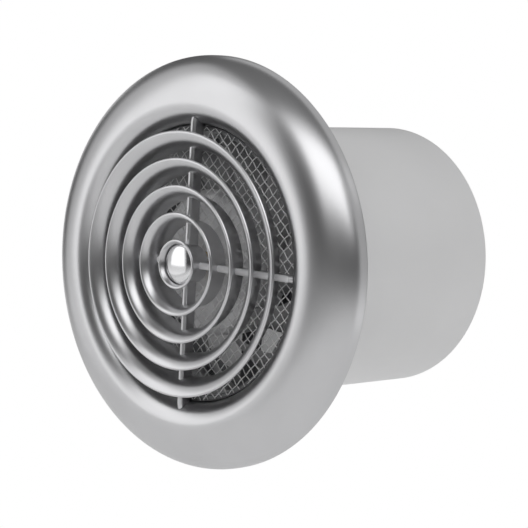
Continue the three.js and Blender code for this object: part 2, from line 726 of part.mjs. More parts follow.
// Impeller: a hub cup with ribs and a bored boss, and blades that sweep forward. Each blade starts as
// a thin grid of blocks, bent onto a twisted and cambered surface.
{
  const hubFacets = impellerRibCount * bladeCount;
  const round = impellerHubRound;
  const inner = impellerHubRadius - impellerHubWall;
  const cup = turned([
    [shaftBore, impellerFront],
    ...arc([impellerHubRadius - round, impellerFront + round], round, round, -90, 0, 3),
    [impellerHubRadius, impellerBack],
    [inner, impellerBack],
    ...arc([impellerHubRadius - round, impellerFront + round],
      round - impellerHubWall, round - impellerHubWall, 0, -90, 1),
    [impellerBossRadius, impellerFront + impellerHubWall],
    [impellerBossRadius, impellerFront + impellerBossDepth],
    [shaftBore, impellerFront + impellerBossDepth],
  ], hubFacets);
  const rib = block(impellerBossRadius - 1, inner + impellerHubWall / 2,
    impellerFront + impellerHubWall / 2, impellerFront + impellerRibDepth,
    -impellerRibWidth / 2, impellerRibWidth / 2);

  function blade() {
    const grid = new THREE.BoxGeometry(1, 1, 1, 4, 1, 3);
    const position = grid.attributes.position;
    const rootRadius = impellerHubRadius - impellerHubWall / 2;
    for (let i = 0; i < position.count; i += 1) {
      const span = position.getX(i) + 0.5;
      const chord = 0.5 - position.getZ(i);
      const side = position.getY(i);
      const radius = THREE.MathUtils.lerp(rootRadius, bladeTipRadius, span);
      const width = THREE.MathUtils.lerp(bladeRootWidth, bladeTipWidth, span);
      const depth = THREE.MathUtils.lerp(bladeRootDepth, bladeTipDepth, span);
      const thickness = bladeThickness * (0.45 + 2.2 * chord * (1 - chord));
      const angle = radians(bladeStart + bladeSweep * span - width * chord);
      const bulge = bladeCamber * 4 * chord * (1 - chord);
      const y = bladeFront + depth * chord - bulge + side * thickness;
      position.setXYZ(i, radius * Math.cos(angle), y, radius * Math.sin(angle));
    }
    return grid;
  }
  const blades = aroundAxis(blade(), bladeCount);
  const ribs = aroundAxis(rib, impellerRibCount, 1.5 * 360 / hubFacets);
  add('impeller', join(cup, ...ribs, ...blades), impellerGrey);

  // The nut holds the impeller on the end of the shaft.
  const nutBack = impellerFront - clearance;
  const hexagon = turned([
    [0, nutBack - nutHeight],
    [nutRadius - 0.8, nutBack - nutHeight],
    [nutRadius, nutBack - nutHeight + 0.6],
    [nutRadius, nutBack],
    [0, nutBack],
  ], 6);
  add('impeller_nut', cut(hexagon, rod(shaftBore, nutBack - nutHeight - 1, nutBack + 1)), brass);
}

// Rotor: the shaft in its two bearings, and the core with its cast end rings.
{
  add('motor_shaft', turned([
    [0, shaftFront],
    [shaftRadius - 0.5, shaftFront],
    [shaftRadius, shaftFront + 0.5],
    [shaftRadius, rearBearingStart + bearingWidth - 0.5],
    [0, rearBearingStart + bearingWidth - 0.5],
  ], 16), steel);
  const coreFront = statorFront - clearance;
  const coreBack = statorFront + statorStack + clearance;
  const ringRadius = rotorRadius - rotorRingInset;
  add('rotor_core', turned([
    [shaftBore, coreFront - rotorRingHeight],
    [ringRadius, coreFront - rotorRingHeight],
    [ringRadius, coreFront],
    [rotorRadius, coreFront],
    [rotorRadius, coreBack],
    [ringRadius, coreBack],
    [ringRadius, coreBack + rotorRingHeight],
    [shaftBore, coreBack + rotorRingHeight],
  ], smallSegments), lamination);
}

export default fan;
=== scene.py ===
import math

import bmesh
import bpy
import numpy as np
from mathutils import Matrix, Vector


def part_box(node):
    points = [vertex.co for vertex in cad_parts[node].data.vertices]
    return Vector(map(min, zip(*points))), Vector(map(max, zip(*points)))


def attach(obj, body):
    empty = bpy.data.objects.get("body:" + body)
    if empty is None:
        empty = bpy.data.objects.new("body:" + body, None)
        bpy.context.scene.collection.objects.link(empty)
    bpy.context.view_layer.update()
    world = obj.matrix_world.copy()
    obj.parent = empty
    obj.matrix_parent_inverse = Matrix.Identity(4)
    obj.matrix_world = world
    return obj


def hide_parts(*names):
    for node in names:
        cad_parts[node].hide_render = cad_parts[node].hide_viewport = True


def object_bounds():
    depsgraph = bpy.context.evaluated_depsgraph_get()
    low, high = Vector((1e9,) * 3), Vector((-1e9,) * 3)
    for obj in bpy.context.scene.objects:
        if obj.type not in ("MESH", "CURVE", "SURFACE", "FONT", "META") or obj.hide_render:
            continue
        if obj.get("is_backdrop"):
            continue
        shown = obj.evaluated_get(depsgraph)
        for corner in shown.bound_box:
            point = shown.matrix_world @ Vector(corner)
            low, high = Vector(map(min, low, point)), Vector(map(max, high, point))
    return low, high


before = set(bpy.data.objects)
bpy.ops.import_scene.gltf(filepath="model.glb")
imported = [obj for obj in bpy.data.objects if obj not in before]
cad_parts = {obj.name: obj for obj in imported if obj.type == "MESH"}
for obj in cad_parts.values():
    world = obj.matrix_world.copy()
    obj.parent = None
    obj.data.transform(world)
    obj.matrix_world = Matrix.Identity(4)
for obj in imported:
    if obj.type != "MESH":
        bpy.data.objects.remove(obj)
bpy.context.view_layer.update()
scene = bpy.context.scene

# Camera: in front of the fan, well round to its right and a little above its axis, turned slightly
# on its own axis. The fan's origin stands left of the picture's middle.
camera_azimuth = math.radians(43.730)
camera_elevation = math.radians(5.794)
camera_roll = math.radians(2.985)
camera_distance = 0.9458
camera_right = 0.02232
camera_down = 0.00069
sensor_width = 36.0
focal_length = 147.84

flat = math.cos(camera_elevation)
backward = Vector((
    math.sin(camera_azimuth) * flat, -math.cos(camera_azimuth) * flat, math.sin(camera_elevation)))
level = Vector((math.cos(camera_azimuth), math.sin(camera_azimuth), 0.0))
upright = backward.cross(level)
rightward = level * math.cos(camera_roll) + upright * math.sin(camera_roll)
upward = backward.cross(rightward)
camera = bpy.data.objects.new("camera", bpy.data.cameras.new("camera"))
scene.collection.objects.link(camera)
scene.camera = camera
camera.data.sensor_width = sensor_width
camera.data.lens = focal_length
camera.data.clip_start = 0.05
camera.data.clip_end = 60.0
spot = backward * camera_distance + rightward * camera_right - upward * camera_down
camera.matrix_world = Matrix.Translation(spot) @ Matrix((rightward, upward, backward)).transposed().to_4x4()

# Studio: a white room with a dim horizon, a pale floor under the fan, and soft boxes. A wide box high on
# the right and a tall one on the left draw the bezel's bright bands, and each has a dimmer one round it.
# Three boxes behind the fan draw the light line along the bezel's edge and light the duct.
scene.view_settings.view_transform = "Standard"
floor_height = -0.32
floor_radius = 0.85
floor_steps = 96
floor_grey, floor_cloud_grey = 0.93, 0.90
floor_cloud_scale = 1.5
floor_glow = 0.22
room_seen = 1.0
room_heights = (-0.38, -0.06, 0.20, 1.0)
room_greys = (0.88, 0.055, 0.07, 0.21)


def full_turn(steps):
    """Equal angles round a full turn, in a row."""
    return np.linspace(0, 2 * np.pi, steps, endpoint=False)[None, :]


def floor_disc():
    """A flat disc: the rim at equal angles round the origin, filled as one face."""
    angle = full_turn(floor_steps)[0]
    rim = np.stack([np.cos(angle), np.sin(angle), 0 * angle], 1) * floor_radius
    rim[:, 2] = floor_height
    mesh = bpy.data.meshes.new("floor")
    mesh.from_pydata(rim.tolist(), [], [list(range(floor_steps))])
    return mesh


floor = bpy.data.objects.new("floor", floor_disc())
scene.collection.objects.link(floor)
floor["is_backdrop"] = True


def linked(tree, *joints):
    """Links sockets of a node tree, each pair given as node, output, node, input."""
    for start, output, end, entry in joints:
        tree.links.new(start.outputs[output], end.inputs[entry])


def floor_paint():
    """Near-white matt paint with a slight cloudiness."""
    paint = bpy.data.materials.new("floor_paint")
    paint.use_nodes = True
    nodes = paint.node_tree.nodes
    shader = nodes["Principled BSDF"]
    shader.inputs["Roughness"].default_value = 0.9
    shader.inputs["Emission Color"].default_value = (1, 1, 1, 1)
    shader.inputs["Emission Strength"].default_value = floor_glow
    place = nodes.new("ShaderNodeTexCoord")
    cloud = nodes.new("ShaderNodeTexNoise")
    cloud.inputs["Scale"].default_value = floor_cloud_scale
    tone = nodes.new("ShaderNodeValToRGB")
    for stop, grey in zip(tone.color_ramp.elements, (floor_cloud_grey, floor_grey)):
        stop.color = (grey, grey, grey, 1)
    linked(
        paint.node_tree, (place, "Object", cloud, "Vector"), (cloud, "Fac", tone, "Fac"),
        (tone, "Color", shader, "Base Color"))
    return paint


floor.data.materials.append(floor_paint())


def white_room():
    """A world that is plain white to look at. It lights the fan by height: light grey below the
    horizon, dark along it, and dim above."""
    room = bpy.data.worlds.new("white_room")
    room.use_nodes = True
    nodes = room.node_tree.nodes
    nodes.clear()
    direction = nodes.new("ShaderNodeTexCoord")
    height = nodes.new("ShaderNodeSeparateXYZ")
    share = nodes.new("ShaderNodeMapRange")
    share.inputs["From Min"].default_value = -1.0
    tone = nodes.new("ShaderNodeValToRGB")
    ramp = tone.color_ramp
    ramp.elements[0].position = (1 + room_heights[0]) / 2
    for height_at in room_heights[1:-1]:
        ramp.elements.new((1 + height_at) / 2)
    for stop, grey in zip(ramp.elements, room_greys):
        stop.color = (grey, grey, grey, 1)
    lit = nodes.new("ShaderNodeBackground")
    seen = nodes.new("ShaderNodeBackground")
    seen.inputs["Color"].default_value = (room_seen, room_seen, room_seen, 1)
    path = nodes.new("ShaderNodeLightPath")
    choice = nodes.new("ShaderNodeMixShader")
    end = nodes.new("ShaderNodeOutputWorld")
    linked(
        room.node_tree, (direction, "Generated", height, "Vector"), (height, "Z", share, "Value"),
        (share, "Result", tone, "Fac"), (tone, "Color", lit, "Color"),
        (path, "Is Camera Ray", choice, "Fac"), (lit, "Background", choice, 1),
        (seen, "Background", choice, 2), (choice, "Shader", end, "Surface"))
    return room


scene.world = white_room()


def soft_box(name, azimuth, elevation, distance, width, height, brightness):
    """A rectangular area light that faces the fan, placed by its direction as the camera is. Its power
    is its brightness times its area times pi."""
    azimuth, elevation = math.radians(azimuth), math.radians(elevation)
    out = math.cos(elevation)
    toward = Vector((math.sin(azimuth) * out, -math.cos(azimuth) * out, math.sin(elevation)))
    light = bpy.data.lights.new(name, "AREA")
    light.shape = "RECTANGLE"
    light.size = width
    light.size_y = height
    light.energy = brightness * width * height * math.pi
    box = bpy.data.objects.new(name, light)
    scene.collection.objects.link(box)
    box.visible_camera = False
    aim = toward.to_track_quat("Z", "Y").to_matrix().to_4x4()
    box.matrix_world = Matrix.Translation(toward * distance) @ aim
    return box


soft_boxes = {
    # name: azimuth, elevation, distance, width, height, brightness
    "box_right": (56, 45, 1.6, 2.1, 1.0, 1.25),
    "box_right_edge": (60, 46, 1.7, 3.4, 1.7, 0.5),
    "box_left": (-43, 18, 1.6, 0.8, 1.5, 0.9),
    "box_left_edge": (-54, 19, 1.7, 2.0, 2.4, 0.5),
    "box_rear_right": (136, 8, 1.7, 1.1, 2.0, 0.46),
    "box_rear_top": (184, 40, 1.7, 2.6, 0.9, 0.45),
    "box_rear_left": (-115, 2, 1.7, 0.6, 0.9, 0.7)}
for box_name, box_values in soft_boxes.items():
    soft_box(box_name, *box_values)

# Front bezel: a moulded shell of satin-chromed plastic, open at the back. Its outer slope is a quarter
# of an ellipse and its inner edge rolls into the throat, where a ledge holds the mesh's frame. Four
# slots take the tabs of the grille's spokes.
bezel_low, bezel_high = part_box("front_bezel")
bezel_radius = bezel_high.x
bezel_front = bezel_low.y
bezel_crest_radius = 0.070
bezel_edge = 0.003
bezel_wall = 0.0024
throat_radius = 0.060
throat_round_depth = 0.010
throat_end = -0.0032
ledge_front = -0.0075
ledge_width = 0.0016
ledge_depth = 0.0012
snap_height = 0.0005
bezel_turns = 288
slot_middle = -0.01385
slot_depth = 0.0033
slot_width = 0.0019


def arc(centre, wide, deep, start, stop, steps):
    """Points along an ellipse in the plane of [radius, y], between two angles in degrees."""
    turn = np.radians(np.linspace(start, stop, steps + 1))
    return np.stack([centre[0] + wide * np.cos(turn), centre[1] + deep * np.sin(turn)], 1)


def eased(corners, cut, steps=4, closed=False):
    """A chain of corners with each one rounded: a short parabola that starts and ends at a set
    distance before and after the corner, and at most 0.45 of the side there. An open chain keeps its
    two end points."""
    corners = np.array(corners, float)
    before, after = np.roll(corners, 1, 0) - corners, np.roll(corners, -1, 0) - corners
    cut = np.broadcast_to(np.asarray(cut, float), len(corners))[:, None]
    to_before, to_after = (np.linalg.norm(side, axis=1, keepdims=True) for side in (before, after))
    first = corners + before / to_before * np.minimum(cut, 0.45 * to_before)
    last = corners + after / to_after * np.minimum(cut, 0.45 * to_after)
    s = np.linspace(0, 1, steps + 1)[None, :, None]
    curve = (1 - s) ** 2 * first[:, None] + 2 * s * (1 - s) * corners[:, None] + s ** 2 * last[:, None]
    if closed:
        return curve.reshape(-1, 2)
    return np.concatenate([corners[:1], curve[1:-1].reshape(-1, 2), corners[-1:]])


def polar(radius, y, angle):
    """Points at a radius and an angle from the fan's axis: x = radius cos angle, z = radius sin angle."""
    return np.stack([radius * np.cos(angle), y + 0 * angle, radius * np.sin(angle)], 2)


def around(outline, turns):
    """An outline of [radius, y] turned about the fan's axis."""
    return polar(outline[:, :1], outline[:, 1:], full_turn(turns))


def shell(points, ring):
    """Four-sided faces over a grid of points. Each row is a closed loop, and with ring the last row
    meets the first."""
    rows, columns = points.shape[:2]
    number = np.arange(rows * columns).reshape(rows, columns)
    nearer = number if ring else number[:-1]
    further = np.roll(number, -1, 0) if ring else number[1:]
    faces = np.stack([nearer, np.roll(nearer, -1, 1), np.roll(further, -1, 1), further], 2)
    return points.reshape(-1, 3), faces.reshape(-1, 4)


def solid(name, *shells):
    """One object from several closed shells. Points that fall together, as at a pole, become one, and
    the faces are turned outwards."""
    counts = np.cumsum([0] + [len(points) for points, _ in shells])
    points = np.concatenate([points for points, _ in shells])
    faces = np.concatenate([faces + first for (_, faces), first in zip(shells, counts)])
    mesh = bpy.data.meshes.new(name)
    mesh.from_pydata(points.tolist(), [], faces.tolist())
    work = bmesh.new()
    work.from_mesh(mesh)
    bmesh.ops.remove_doubles(work, verts=work.verts, dist=2e-7)
    bmesh.ops.dissolve_degenerate(work, edges=work.edges, dist=1e-7)
    bmesh.ops.recalc_face_normals(work, faces=work.faces)
    work.to_mesh(mesh)
    work.free()
    made = bpy.data.objects.new(name, mesh)
    scene.collection.objects.link(made)
    return made


def filled(name, *grids):
    """One object from grids of points whose first and last rows each close on a point or a line."""
    return solid(name, *(shell(grid, ring=False) for grid in grids))


def turned(name, *outlines, turns):
    """Closed outlines of [radius, y], each turned about the axis into a ring."""
    return solid(name, *(shell(around(outline, turns), ring=True) for outline in outlines))


def copies(points, count, first=0.0):
    """Copies of some points carried round the axis, anticlockwise in the front view."""
    x, y, z = points[..., 0], points[..., 1], points[..., 2]
    return [
        np.stack([x * np.cos(angle) - z * np.sin(angle), y, x * np.sin(angle) + z * np.cos(angle)], -1)
        for angle in np.radians(first) + 2 * np.pi * np.arange(count) / count]


def slab(loop, y, cut):
    """A closed outline of [x, z] carried along y, in rows that draw in towards its middle at both ends
    and close on the middle line."""
    low, high = loop.min(0), loop.max(0)
    middle, half = (low + high) / 2, (high - low) / 2
    inset = cut * np.array([1.0, 1.0, 0.3, 0.0, 0.0, 0.3, 1.0, 1.0])[:, None, None]
    front = y[0] + cut * np.array([0.0, 0.0, 0.3, 1.0])
    back = y[1] - cut * np.array([1.0, 0.3, 0.0, 0.0])
    depth = np.concatenate([front, back])
    open_rows = np.array([0.0, 1.0, 1.0, 1.0, 1.0, 1.0, 1.0, 0.0])[:, None, None]
    rows = middle + (loop - middle) * (half - inset) / half * open_rows
    return np.stack([rows[..., 0], depth[:, None] + 0 * rows[..., 0], rows[..., 1]], 2)


def spread(width, middle=0.0):
    """The two ends of a width laid evenly over a middle."""
    return middle - width / 2, middle + width / 2


def brick(x, y, z, cut):
    """A block with its edges eased."""
    corners = [[x[0], z[0]], [x[1], z[0]], [x[1], z[1]], [x[0], z[1]]]
    return slab(eased(corners, cut, closed=True), y, cut)


def combined(target, tool, operation):
    """Joins the tool to the target, or cuts it out, and takes the tool away."""
    change = target.modifiers.new("change", "BOOLEAN")
    change.solver = "MANIFOLD"
    change.operation = operation
    change.object = tool
    graph = bpy.context.evaluated_depsgraph_get()
    mesh = bpy.data.meshes.new_from_object(target.evaluated_get(graph))
    target.modifiers.clear()
    target.data = mesh
    mesh.name = target.name
    bpy.data.objects.remove(tool)
    return target


def finished(piece, body, slot, material, *nodes, crease=32):
    """Shades a piece smooth up to its creases, paints it, and says what it rides on and stands for."""
    piece.data.shade_smooth()
    piece.data.set_sharp_from_angle(angle=math.radians(crease))
    piece.data.materials.clear()
    piece.data.materials.append(material)
    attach(piece, body)
    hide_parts(*nodes)
    return piece


def repaint(piece, material, chosen):
    """Gives one more finish to the faces that a test of their middles and normals picks."""
    faces = piece.data.polygons
    middle, normal = np.empty(3 * len(faces)), np.empty(3 * len(faces))
    faces.foreach_get("center", middle)
    faces.foreach_get("normal", normal)
    piece.data.materials.append(material)
    picked = chosen(middle.reshape(-1, 3).T, normal.reshape(-1, 3).T)
    faces.foreach_set("material_index", picked.astype(np.int32))


def finish_nodes(name, colour, darker, roughness, patch, grain, height, metallic=0.0):
    """The finish that every made surface of the fan shares: two tones mixed by a soft cloud of the
    patch's size, roughness that varies between two values with a finer one, and a grain that stands up
    by a height."""
    made = bpy.data.materials.new(name)
    made.use_nodes = True
    nodes = made.node_tree.nodes
    shader = nodes["Principled BSDF"]
    shader.inputs["Metallic"].default_value = metallic
    place = nodes.new("ShaderNodeTexCoord")
    cloud = nodes.new("ShaderNodeTexNoise")
    cloud.inputs["Scale"].default_value = 1 / patch
    cloud.inputs["Detail"].default_value = 3
    tone = nodes.new("ShaderNodeValToRGB")
    tone.color_ramp.elements[0].position = 0.3
    tone.color_ramp.elements[1].position = 0.7
    tone.color_ramp.elements[0].color = (*darker, 1)
    tone.color_ramp.elements[1].color = (*colour, 1)
    speck = nodes.new("ShaderNodeTexNoise")
    speck.inputs["Scale"].default_value = 1 / grain
    speck.inputs["Detail"].default_value = 2
    gloss = nodes.new("ShaderNodeMapRange")
    gloss.inputs["To Min"].default_value, gloss.inputs["To Max"].default_value = roughness
    relief = nodes.new("ShaderNodeBump")
    relief.inputs["Strength"].default_value = 1.0
    relief.inputs["Distance"].default_value = height
    linked(
        made.node_tree, (place, "Object", cloud, "Vector"), (place, "Object", speck, "Vector"),
        (cloud, "Fac", tone, "Fac"), (tone, "Color", shader, "Base Color"),
        (speck, "Fac", gloss, "Value"), (gloss, "Result", shader, "Roughness"),
        (speck, "Fac", relief, "Height"), (relief, "Normal", shader, "Normal"))
    return made


satin_chrome = finish_nodes(
    "satin_chrome", (0.60, 0.60, 0.61), (0.57, 0.57, 0.58), roughness=(0.27, 0.33),
    patch=0.03, grain=0.00018, height=0.000002, metallic=1.0)

bezel_slope = arc(
    (bezel_crest_radius, -bezel_edge), bezel_radius - bezel_crest_radius,
    -bezel_front - bezel_edge, 0, -90, 48)
bezel_roll = arc(
    (bezel_crest_radius, bezel_front + throat_round_depth),
    bezel_crest_radius - throat_radius, throat_round_depth, -90, -180, 36)[1:]
bezel_roll_back = arc(
    (bezel_crest_radius, bezel_front + throat_round_depth),
    bezel_crest_radius - throat_radius - bezel_wall, throat_round_depth - bezel_wall, -180, -90, 16)
bezel_slope_back = arc(
    (bezel_crest_radius, -bezel_edge), bezel_radius - bezel_crest_radius - bezel_wall,
    -bezel_front - bezel_edge - bezel_wall, -90, 0, 24)[1:]
throat_outside = throat_radius + bezel_wall
snap_middle = -0.0056
ledge_radius = throat_radius - ledge_width
ledge_back = ledge_front + ledge_depth
bezel_inside = eased([
    bezel_roll[-1], [throat_radius, ledge_front], [ledge_radius, ledge_front], [ledge_radius, ledge_back],
    [throat_radius, ledge_back], [throat_radius, throat_end], [throat_outside, throat_end],
    [throat_outside + snap_height, snap_middle + snap_height], [throat_outside, snap_middle],
    bezel_roll_back[0]], 0.00025)[1:-1]
bezel_rim = eased([
    bezel_slope_back[-1], [bezel_radius - bezel_wall, 0], [bezel_radius, 0], bezel_slope[0]], 0.0005)[1:-1]
bezel_outline = np.concatenate([
    bezel_slope, bezel_roll, bezel_inside, bezel_roll_back, bezel_slope_back, bezel_rim])
front_bezel = turned("bezel", bezel_outline, turns=bezel_turns)
slot_block = brick(
    (throat_radius - 0.0005, bezel_crest_radius), spread(slot_depth, slot_middle), spread(slot_width),
    0.0003)
combined(front_bezel, filled("slots", *copies(slot_block, 4)), "DIFFERENCE")
finished(front_bezel, "housing", "satin_chrome", satin_chrome, "front_bezel")

# Ring grille: one moulding of the same chromed plastic. Each ring is a horn that opens towards the
# front and ends in a rounded lip. Four spokes carry the rings and the hub, and plug into the bezel.
ring_count = 4
ring_pitch = 0.01165
hub_lip_radius = 0.01075
ring_wall = 0.00165
inner_ring_flare, outer_ring_flare = 0.0035, 0.0066
ring_turn = math.radians(78)
grille_low, grille_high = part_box("ring_grille")
grille_back = grille_high.y
lip_dome = 0.0012
ring_turns = (96, 128, 160, 192)
spoke_width = 0.003
spoke_front = -0.0168
spoke_round = 0.0011
spoke_end_drop = 0.0005
tab_width = 0.0018
tab_depth = 0.0032
tab_reach = 0.0034
seat_gap = 0.0003


def ring_outline(number):
    """A quarter of an ellipse from the rear edge to the lip, given a thickness at right angles to it.
    The rear edge is square and the lip is a half circle."""
    lip_y = grille_low.y + ring_wall / 2 + lip_dome * (number - 1) / (ring_count - 1)
    flare = inner_ring_flare + (outer_ring_flare - inner_ring_flare) * (number - 1) / (ring_count - 1)
    rear_radius = hub_lip_radius + ring_pitch * number - flare
    wide = flare / (1 - math.cos(ring_turn))
    deep = (grille_back - lip_y) / math.sin(ring_turn)
    turn = np.linspace(0, ring_turn, 21)
    middle = np.stack([
        rear_radius - ring_wall / 2 + wide * (1 - np.cos(turn)), grille_back - deep * np.sin(turn)], 1)
    out = np.stack([deep * np.cos(turn), wide * np.sin(turn)], 1)
    out /= np.linalg.norm(out, axis=1, keepdims=True)
    ahead = np.array([out[-1, 1], -out[-1, 0]])
    round_turn = np.linspace(0, np.pi, 11)[1:-1, None]
    lip = middle[-1] + (np.cos(round_turn) * out[-1] + np.sin(round_turn) * ahead) * ring_wall / 2
    outside = middle + out * ring_wall / 2
    inside = middle - out * ring_wall / 2
    rear = eased([inside[1], inside[0], outside[0], outside[1]], 0.0003)[1:-1]
    return np.concatenate([rear, outside[1:], lip, inside[:0:-1]])


hub_lip_front = -0.0228
hub_back_radius = 0.0081
hub_wall = 0.0019
hub_floor = 0.0024
badge_recess = 0.0034
badge_radius = 0.0084
badge_edge = 0.0007
badge_dome = 0.0015
badge_pin_radius = 0.002
hub_turns = 96

hub_floor_y = hub_lip_front + badge_recess
up_horn = np.linspace(0, 1, 25)[:, None]
hub_horn = np.concatenate([
    hub_back_radius + (hub_lip_radius - hub_back_radius) * up_horn ** 2.4,
    grille_back + (hub_lip_front + 0.0006 - grille_back) * up_horn], 1)
hub_bowl = eased([
    hub_horn[-1], [hub_lip_radius - 0.0002, hub_lip_front], [hub_lip_radius - 0.0011, hub_lip_front],
    [badge_radius + seat_gap + 0.0001, hub_floor_y - 0.0016],
    [badge_radius + seat_gap, hub_floor_y], [badge_pin_radius + seat_gap, hub_floor_y],
    [badge_pin_radius + seat_gap, hub_floor_y + hub_floor],
    [hub_back_radius - hub_wall, hub_floor_y + hub_floor], [hub_back_radius - hub_wall, grille_back],
    hub_horn[0], hub_horn[1]],
    [0, 0.0004, 0.0004, 0.0004, 0.0002, 0.0002, 0.0002, 0.0003, 0.0003, 0.0003, 0])[1:-1]
hub_outline = np.concatenate([hub_horn[1:], hub_bowl])

spoke_inner = hub_back_radius - hub_wall / 2
mouth_wide = bezel_crest_radius - throat_radius + seat_gap
mouth_deep = throat_round_depth + seat_gap


def spoke_points():
    """A bar with a half round front, carried outwards. Each point moves in a straight line from the hub
    to the bezel's rounded throat, whose radius there is that of the ellipse at the point's own depth. In
    the last stretch the front slopes back, so that the ends keep behind the outermost lip."""
    front = np.pi * (1 + np.linspace(0, 1, 17))
    section = np.concatenate([
        np.stack([
            np.cos(front) * spoke_width / 2, spoke_front + spoke_round * (1 + np.sin(front))], 1),
        [[spoke_width / 2, grille_back - 0.0002], [spoke_width / 2 - 0.0002, grille_back],
         [0.0002 - spoke_width / 2, grille_back], [-spoke_width / 2, grille_back - 0.0002]]])
    share = np.array([0.0, 0.0, 0.25, 0.5, 0.75, 0.96, 1.0, 1.0])[:, None]
    draw = np.array([0.0, 1.0, 1.0, 1.0, 1.0, 1.0, 1.0, 0.0])[:, None]
    z, y = section[:, 0], section[:, 1]
    sunk_back = (grille_back - y) / (grille_back - spoke_front) * spoke_end_drop
    y = y + sunk_back * (share > 0.97)
    depth = np.clip((y[-2] - bezel_front - throat_round_depth) / mouth_deep, -1, 1)
    end = bezel_crest_radius - mouth_wide * np.sqrt(1 - depth ** 2)
    middle_y = (spoke_front + grille_back) / 2
    radius = spoke_inner + (end - spoke_inner) * share
    radius[-1] = end.mean()
    return np.stack([radius, middle_y + (y - middle_y) * draw, z * draw], 2)


spoke_tab = brick(
    spread(2 * tab_reach, throat_radius), spread(tab_depth, slot_middle), spread(tab_width), 0.00025)
ring_grille = turned("grille", hub_outline, turns=hub_turns)
rings = solid("rings", *(
    shell(around(ring_outline(i + 1), ring_turns[i]), ring=True) for i in range(ring_count)))
spokes = filled("spokes", *copies(spoke_points(), 4))
tabs = filled("tabs", *copies(spoke_tab, 4))
for part in (rings, spokes, tabs):
    combined(ring_grille, part, "UNION")
finished(ring_grille, "housing", "satin_chrome", satin_chrome, "ring_grille", crease=40)
# Painted light: a lighter, duller copy of the satin chrome, given to the level spokes of the same moulding so
# that they look lit where the rings shade them.
painted_light_chrome = finish_nodes(
    "painted_light_chrome", (0.88, 0.88, 0.89), (0.82, 0.82, 0.83), roughness=(0.42, 0.5),
    patch=0.01, grain=0.00018, height=0.000002, metallic=0.3)


def on_level_spoke(middle, normal):
    """The fronts of the two level spokes, which take the lighter, duller copy of the chrome as painted light:
    faces close to a line across the grille and no further forward than the spokes, whose normals point ahead."""
    on_bar = (np.abs(middle[2]) < spoke_width * 0.52) & (np.abs(middle[0]) > hub_lip_radius)
    ahead = (np.abs(normal[0]) < 0.1) & (normal[1] < -0.3)
    return on_bar & ahead & (middle[1] > spoke_front - 0.0002)


repaint(ring_grille, painted_light_chrome, on_level_spoke)

# Hub badge: a bare dome of bright chromed plastic in the hub's bowl. Its short pin goes through a hole
# in the bowl's floor.
mirror_chrome = finish_nodes(
    "mirror_chrome", (0.74, 0.74, 0.75), (0.71, 0.71, 0.72), roughness=(0.10, 0.14),
    patch=0.01, grain=0.0004, height=0.0000006, metallic=1.0)
badge_back = hub_floor_y - seat_gap
badge_face = arc((0, badge_back - badge_edge), badge_radius - 0.0003, badge_dome, 0, -90, 24)
badge_outline = np.concatenate([
    eased([
        [0, hub_floor_y + hub_floor], [badge_pin_radius, hub_floor_y + hub_floor],
        [badge_pin_radius, badge_back], [badge_radius, badge_back],
        [badge_radius, badge_back - badge_edge + 0.0001], badge_face[0]], 0.0002)[:-1],
    badge_face])
hub_badge = filled("badge", around(badge_outline, hub_turns))
finished(hub_badge, "housing", "bright_chrome", mirror_chrome, "hub_badge")

# Insect mesh: a disc of woven wire behind the grille. Its wires run at 45 degrees and pass over and
# under each other, and their ends are gripped in a flat moulded rim.
mesh_low, mesh_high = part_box("insect_mesh")
mesh_radius = mesh_high.x
mesh_middle = (mesh_low.y + mesh_high.y) / 2
mesh_rim = 0.0005
wire_pitch = 0.00365
wire_radius = 0.00025
wire_sides = 5
wire_steps = 6
throat_turns = 192
wire_reach = mesh_radius - mesh_rim / 2


def wire(number, direction):
    """A wire that runs straight in the front view and waves in depth as a cosine with a half period of
    one pitch. Its neighbours wave the other way, and so do the wires that cross it."""
    offset = number * wire_pitch
    cells = int(math.sqrt(wire_reach ** 2 - offset ** 2) / wire_pitch)
    along = np.arange(-cells * wire_steps, cells * wire_steps + 1) / wire_steps
    half = math.sqrt(wire_reach ** 2 - offset ** 2) / wire_pitch
    along = np.concatenate([[-half, -half], along, [half, half]])
    sign = direction if number % 2 else -direction
    wave = sign * np.cos(np.pi * along) * wire_radius
    thick = np.ones(len(along)) * wire_radius
    thick[[0, -1]] = 0
    turn = full_turn(wire_sides)
    run = (along * wire_pitch)[:, None] + 0 * turn
    across = offset + thick[:, None] * np.cos(turn)
    depth = mesh_middle + wave[:, None] + thick[:, None] * np.sin(turn)
    root = math.sqrt(0.5)
    return np.stack([(run - direction * across) * root, depth, (direction * run + across) * root], 2)


def tube_outline(node, wall, cut):
    """A square ring as large as a CAD node's box, with its edges eased."""
    low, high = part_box(node)
    return eased([
        [high.x - wall, low.y], [high.x, low.y], [high.x, high.y], [high.x - wall, high.y]], cut, closed=True)


wire_grey = finish_nodes(
    "wire_grey", (0.90, 0.90, 0.90), (0.80, 0.80, 0.80), roughness=(0.35, 0.5),
    patch=0.004, grain=0.0003, height=0.000004)
wire_count = int(wire_reach / wire_pitch)
wires = [
    shell(wire(number, direction), ring=False)
    for direction in (1, -1) for number in range(-wire_count, wire_count + 1)]
rim_outline = tube_outline("insect_mesh", mesh_rim, 0.0002)
insect_mesh = solid("woven_mesh", shell(around(rim_outline, throat_turns), ring=True), *wires)
finished(insect_mesh, "housing", "mesh_wire", wire_grey, "insect_mesh")
rim_grey = finish_nodes(
    "rim_grey", (0.16, 0.16, 0.165), (0.13, 0.13, 0.135), roughness=(0.5, 0.6),
    patch=0.01, grain=0.0003, height=0.000006)
repaint(
    insect_mesh, rim_grey,
    lambda middle, normal: np.hypot(middle[0], middle[2]) > mesh_radius - mesh_rim)

